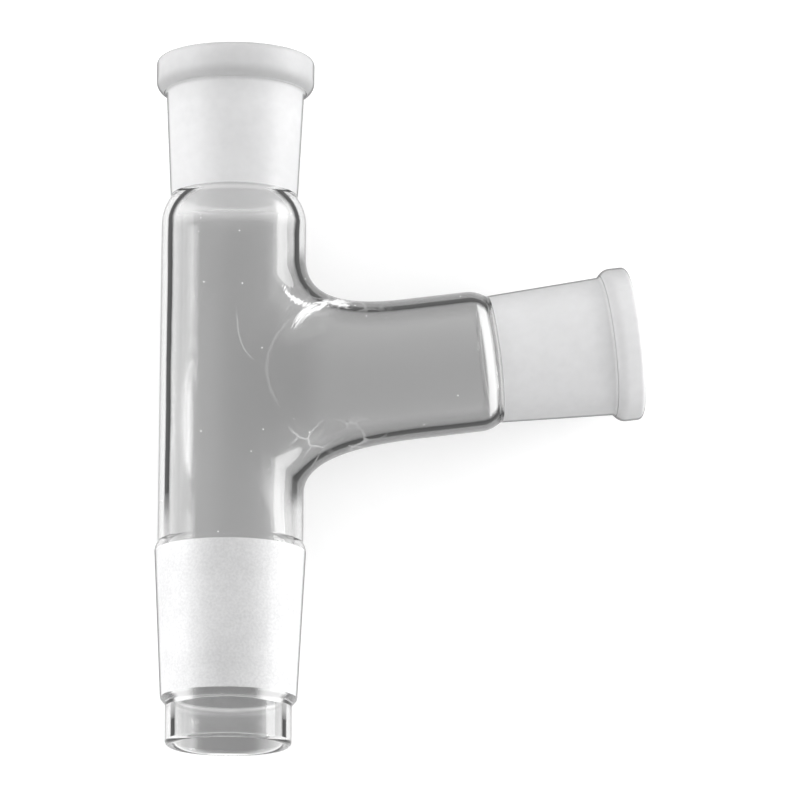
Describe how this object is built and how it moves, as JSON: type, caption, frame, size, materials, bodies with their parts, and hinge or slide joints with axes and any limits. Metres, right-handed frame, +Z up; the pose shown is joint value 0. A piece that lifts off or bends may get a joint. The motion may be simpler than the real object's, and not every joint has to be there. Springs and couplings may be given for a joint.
{
  "type": "receiver adapter",
  "caption": "Clear blown-glass receiver adapter: a straight tube with a ground cone and drip tip below, a ground socket on top, and a side arm that ends in a ground socket.",
  "frame": {"origin": "centre of the bounding box's base, on the surface that the adapter lies on", "axes": "+Y along the main tube's axis towards the top socket, +X towards the side arm's mouth, +Z up; the side arm's axis lies in the XY plane and leans 8 degrees from +X towards +Y"},
  "size_m": [0.1126, 0.16, 0.0363],
  "materials": {
    "glass": "clear, fire-polished, with frosted ground zones on the cone and in both sockets"
  },
  "bodies": {
    "root": {"adapter": "glass"}
  },
  "joints": []
}
